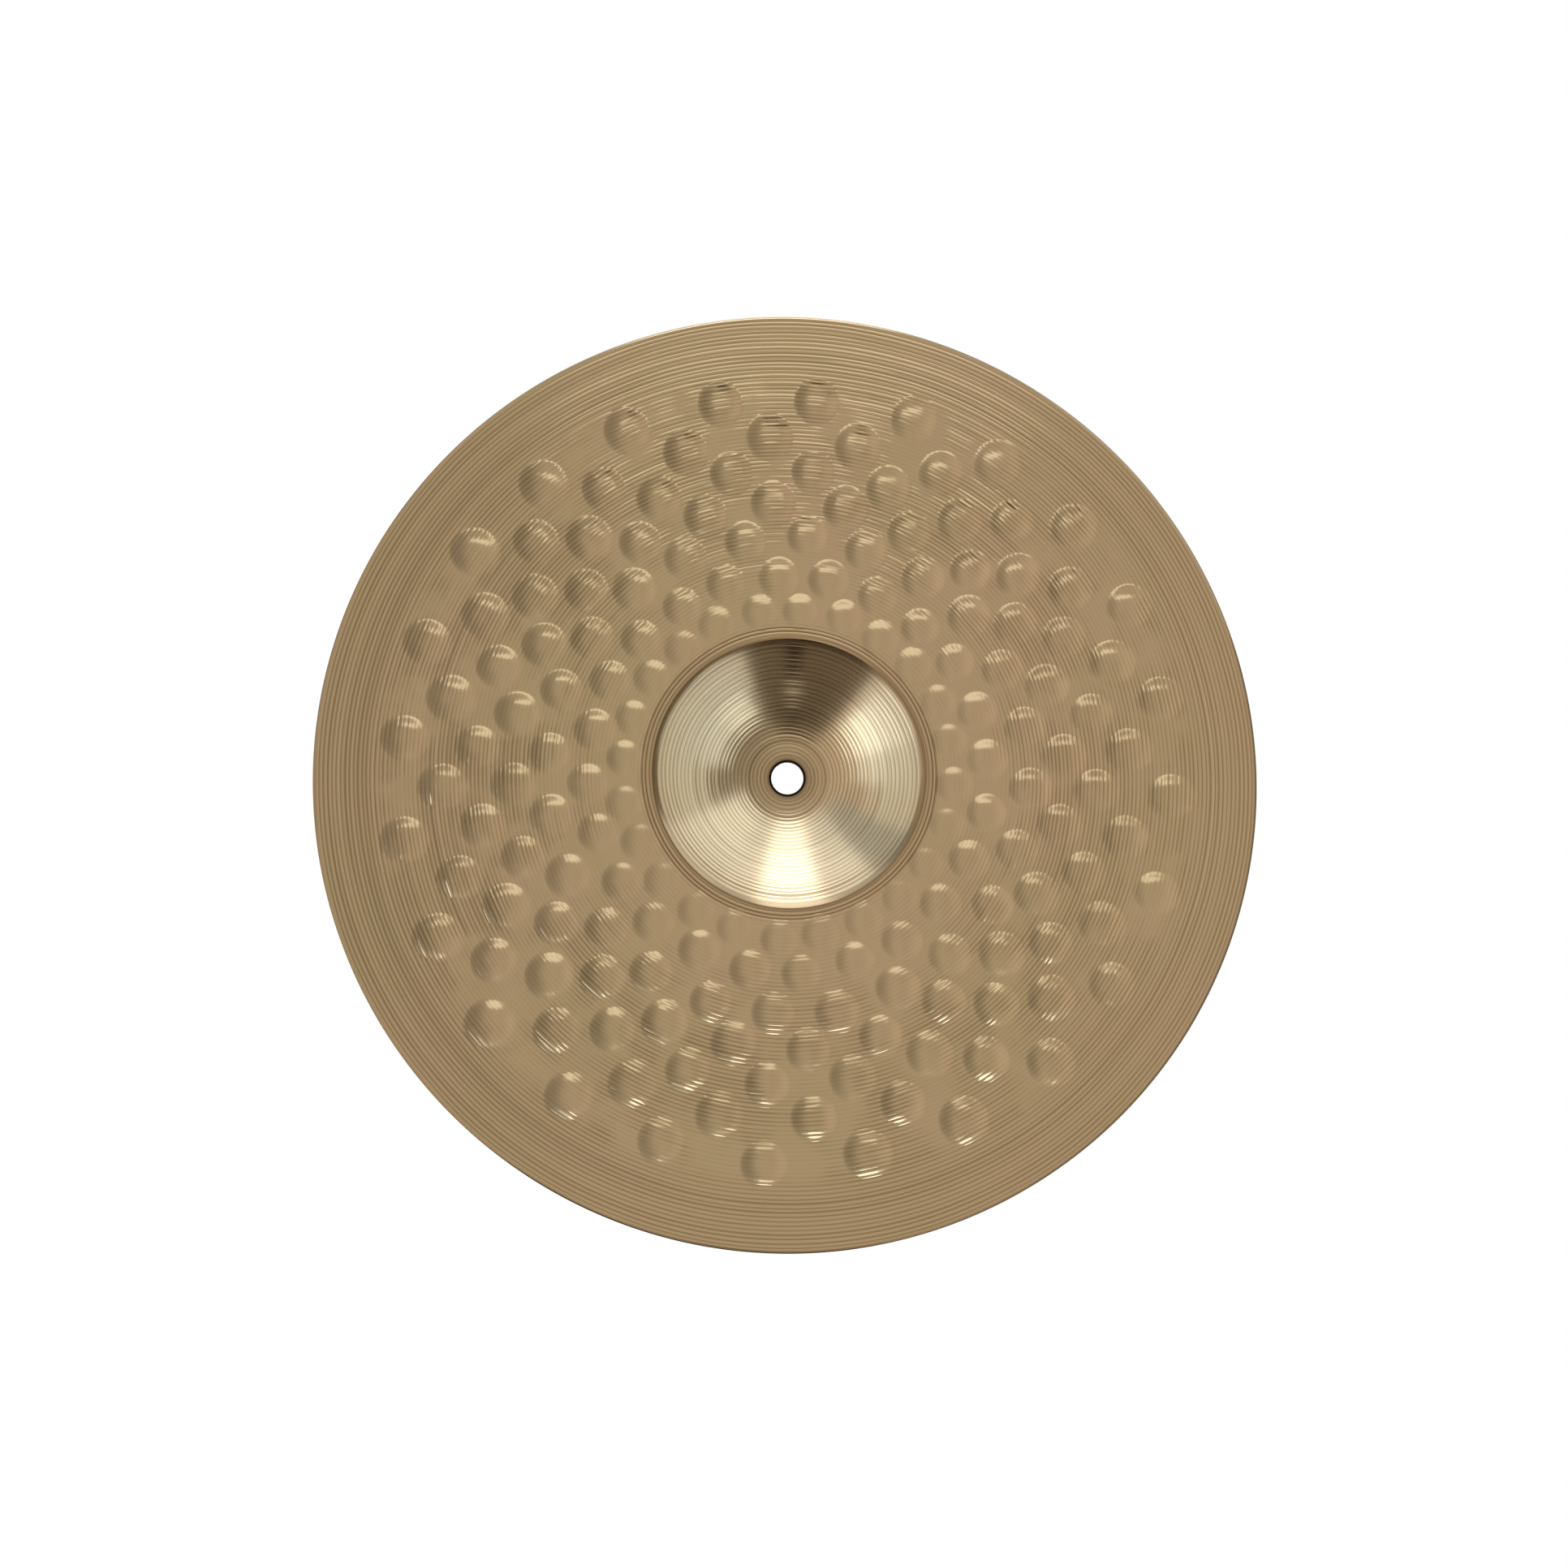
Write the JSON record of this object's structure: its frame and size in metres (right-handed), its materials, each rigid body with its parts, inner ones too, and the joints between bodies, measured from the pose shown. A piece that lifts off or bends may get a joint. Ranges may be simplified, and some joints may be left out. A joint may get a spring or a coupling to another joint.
{
  "type": "crash cymbal",
  "caption": "Thin round crash cymbal in cast bronze with a domed bell, a centre hole for a stand rod, a lathed and hammered bow and a thin edge.",
  "frame": {"origin": "on the axis of the centre hole, in the plane that the edge rests on", "axes": "+Z along the axis of the centre hole, up through the bell; X and Y lie in the plane of the edge and are interchangeable"},
  "size_m": [0.3556, 0.3556, 0.0397],
  "materials": {
    "bronze": "lathed, hammered and lightly polished cast bronze"
  },
  "bodies": {
    "root": {"cymbal": "bronze"}
  },
  "joints": []
}
